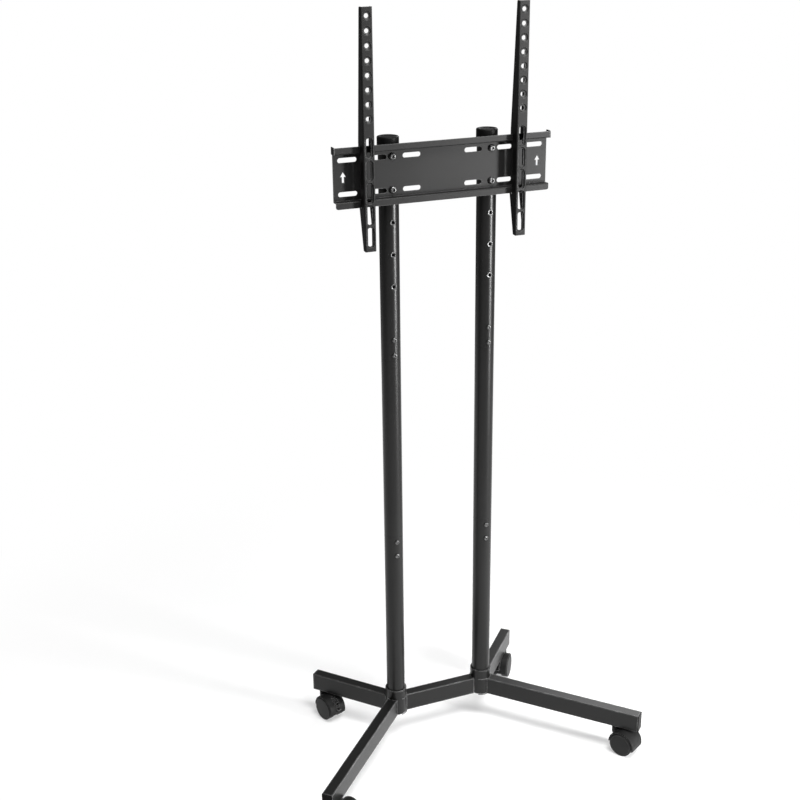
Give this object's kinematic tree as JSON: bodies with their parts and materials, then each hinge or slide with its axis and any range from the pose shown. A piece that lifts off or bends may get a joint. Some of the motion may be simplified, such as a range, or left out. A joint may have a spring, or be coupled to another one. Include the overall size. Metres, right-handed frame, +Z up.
{
  "type": "mobile tv stand",
  "caption": "Mobile television stand: twin tube poles on a splayed caster base, with a slotted wall plate and hooked television arms.",
  "frame": {"origin": "on the floor under the middle of the overall footprint", "axes": "+Z up, +X along the wall plate from the left pole to the right pole, -Y the way the television faces"},
  "size_m": [0.7054, 0.4458, 1.5151],
  "materials": {
    "tube_powder_coat": "fine matt black powder coat",
    "plate_powder_coat": "fine matt black powder coat",
    "black_screw": "black oxide screws and stems",
    "zinc_steel": "bright zinc plate",
    "cap_plastic": "moulded black plastic",
    "caster_plastic": "moulded black nylon",
    "wheel_nylon": "moulded black nylon"
  },
  "bodies": {
    "frame": {"pole_tube_upper_left": "tube_powder_coat", "pole_tube_middle_left": "tube_powder_coat", "pole_tube_lower_left": "tube_powder_coat", "joint_sleeve_upper_left": "zinc_steel", "joint_screw_upper_left_1": "black_screw", "joint_screw_upper_left_2": "black_screw", "joint_sleeve_lower_left": "zinc_steel", "joint_screw_lower_left_1": "black_screw", "joint_screw_lower_left_2": "black_screw", "pole_cap_left": "cap_plastic", "pole_tube_upper_right": "tube_powder_coat", "pole_tube_middle_right": "tube_powder_coat", "pole_tube_lower_right": "tube_powder_coat", "joint_sleeve_upper_right": "zinc_steel", "joint_screw_upper_right_1": "black_screw", "joint_screw_upper_right_2": "black_screw", "joint_sleeve_lower_right": "zinc_steel", "joint_screw_lower_right_1": "black_screw", "joint_screw_lower_right_2": "black_screw", "pole_cap_right": "cap_plastic", "base_socket_left": "tube_powder_coat", "base_socket_right": "tube_powder_coat", "base_crossbar": "tube_powder_coat", "wall_plate": "plate_powder_coat", "plate_bolt_top_left": "black_screw", "plate_bolt_bottom_left": "black_screw", "plate_bolt_top_right": "black_screw", "plate_bolt_bottom_right": "black_screw", "leg_front_left": "tube_powder_coat", "leg_end_cap_front_left": "cap_plastic", "caster_stem_front_left": "black_screw", "leg_front_right": "tube_powder_coat", "leg_end_cap_front_right": "cap_plastic", "caster_stem_front_right": "black_screw", "leg_back_left": "tube_powder_coat", "leg_end_cap_back_left": "cap_plastic", "caster_stem_back_left": "black_screw", "leg_back_right": "tube_powder_coat", "leg_end_cap_back_right": "cap_plastic", "caster_stem_back_right": "black_screw"},
    "tv_arm_left": {"tv_arm_left": "tube_powder_coat"},
    "tv_arm_right": {"tv_arm_right": "tube_powder_coat"},
    "caster_front_left": {"caster_hood_front_left": "caster_plastic", "caster_axle_front_left": "zinc_steel"},
    "wheel_a_front_left": {"caster_wheel_a_front_left": "wheel_nylon"},
    "wheel_b_front_left": {"caster_wheel_b_front_left": "wheel_nylon"},
    "caster_front_right": {"caster_hood_front_right": "caster_plastic", "caster_axle_front_right": "zinc_steel"},
    "wheel_a_front_right": {"caster_wheel_a_front_right": "wheel_nylon"},
    "wheel_b_front_right": {"caster_wheel_b_front_right": "wheel_nylon"},
    "caster_back_left": {"caster_hood_back_left": "caster_plastic", "caster_axle_back_left": "zinc_steel"},
    "wheel_a_back_left": {"caster_wheel_a_back_left": "wheel_nylon"},
    "wheel_b_back_left": {"caster_wheel_b_back_left": "wheel_nylon"},
    "brake_lever_back_left": {"caster_brake_lever_back_left": "caster_plastic"},
    "caster_back_right": {"caster_hood_back_right": "caster_plastic", "caster_axle_back_right": "zinc_steel"},
    "wheel_a_back_right": {"caster_wheel_a_back_right": "wheel_nylon"},
    "wheel_b_back_right": {"caster_wheel_b_back_right": "wheel_nylon"},
    "brake_lever_back_right": {"caster_brake_lever_back_right": "caster_plastic"}
  },
  "joints": [
    {"name": "tv_arm_slide_left", "type": "slide", "parent": "frame", "child": "tv_arm_left", "axis": [1, 0, 0], "range_m": [-0.0475, 0.111]},
    {"name": "tv_arm_slide_right", "type": "slide", "parent": "frame", "child": "tv_arm_right", "axis": [1, 0, 0], "range_m": [-0.103, 0.0555]},
    {"name": "caster_swivel_front_left", "type": "hinge", "parent": "frame", "child": "caster_front_left", "pos_m": [-0.31056, -0.16202, 0.0577], "axis": [0, 0, 1], "continuous": true},
    {"name": "wheel_spin_a_front_left", "type": "hinge", "parent": "caster_front_left", "child": "wheel_a_front_left", "pos_m": [-0.29989, -0.18126, 0.025], "axis": [0.8746, 0.4848, 0], "continuous": true},
    {"name": "wheel_spin_b_front_left", "type": "hinge", "parent": "caster_front_left", "child": "wheel_b_front_left", "pos_m": [-0.29989, -0.18126, 0.025], "axis": [0.8746, 0.4848, 0], "continuous": true},
    {"name": "caster_swivel_front_right", "type": "hinge", "parent": "frame", "child": "caster_front_right", "pos_m": [0.31054, -0.16864, 0.0577], "axis": [0, 0, 1], "continuous": true},
    {"name": "wheel_spin_a_front_right", "type": "hinge", "parent": "caster_front_right", "child": "wheel_a_front_right", "pos_m": [0.32121, -0.18788, 0.025], "axis": [0.8746, 0.4848, 0], "continuous": true},
    {"name": "wheel_spin_b_front_right", "type": "hinge", "parent": "caster_front_right", "child": "wheel_b_front_right", "pos_m": [0.32121, -0.18788, 0.025], "axis": [0.8746, 0.4848, 0], "continuous": true},
    {"name": "caster_swivel_back_left", "type": "hinge", "parent": "frame", "child": "caster_back_left", "pos_m": [-0.21388, 0.20069, 0.0577], "axis": [0, 0, 1], "continuous": true},
    {"name": "wheel_spin_a_back_left", "type": "hinge", "parent": "caster_back_left", "child": "wheel_a_back_left", "pos_m": [-0.20708, 0.17977, 0.025], "axis": [0.9511, 0.309, 0], "continuous": true},
    {"name": "wheel_spin_b_back_left", "type": "hinge", "parent": "caster_back_left", "child": "wheel_b_back_left", "pos_m": [-0.20708, 0.17977, 0.025], "axis": [0.9511, 0.309, 0], "continuous": true},
    {"name": "brake_press_back_left", "type": "hinge", "parent": "caster_back_left", "child": "brake_lever_back_left", "pos_m": [-0.20146, 0.16247, 0.04668], "axis": [0.9511, 0.309, 0], "range_deg": [0, 14]},
    {"name": "caster_swivel_back_right", "type": "hinge", "parent": "frame", "child": "caster_back_right", "pos_m": [0.2253, 0.19693, 0.0577], "axis": [0, 0, 1], "continuous": true},
    {"name": "wheel_spin_a_back_right", "type": "hinge", "parent": "caster_back_right", "child": "wheel_a_back_right", "pos_m": [0.21131, 0.17996, 0.025], "axis": [0.7716, -0.6361, 0], "continuous": true},
    {"name": "wheel_spin_b_back_right", "type": "hinge", "parent": "caster_back_right", "child": "wheel_b_back_right", "pos_m": [0.21131, 0.17996, 0.025], "axis": [0.7716, -0.6361, 0], "continuous": true},
    {"name": "brake_press_back_right", "type": "hinge", "parent": "caster_back_right", "child": "brake_lever_back_right", "pos_m": [0.19973, 0.16592, 0.04668], "axis": [0.7716, -0.6361, 0], "range_deg": [0, 14]}
  ]
}
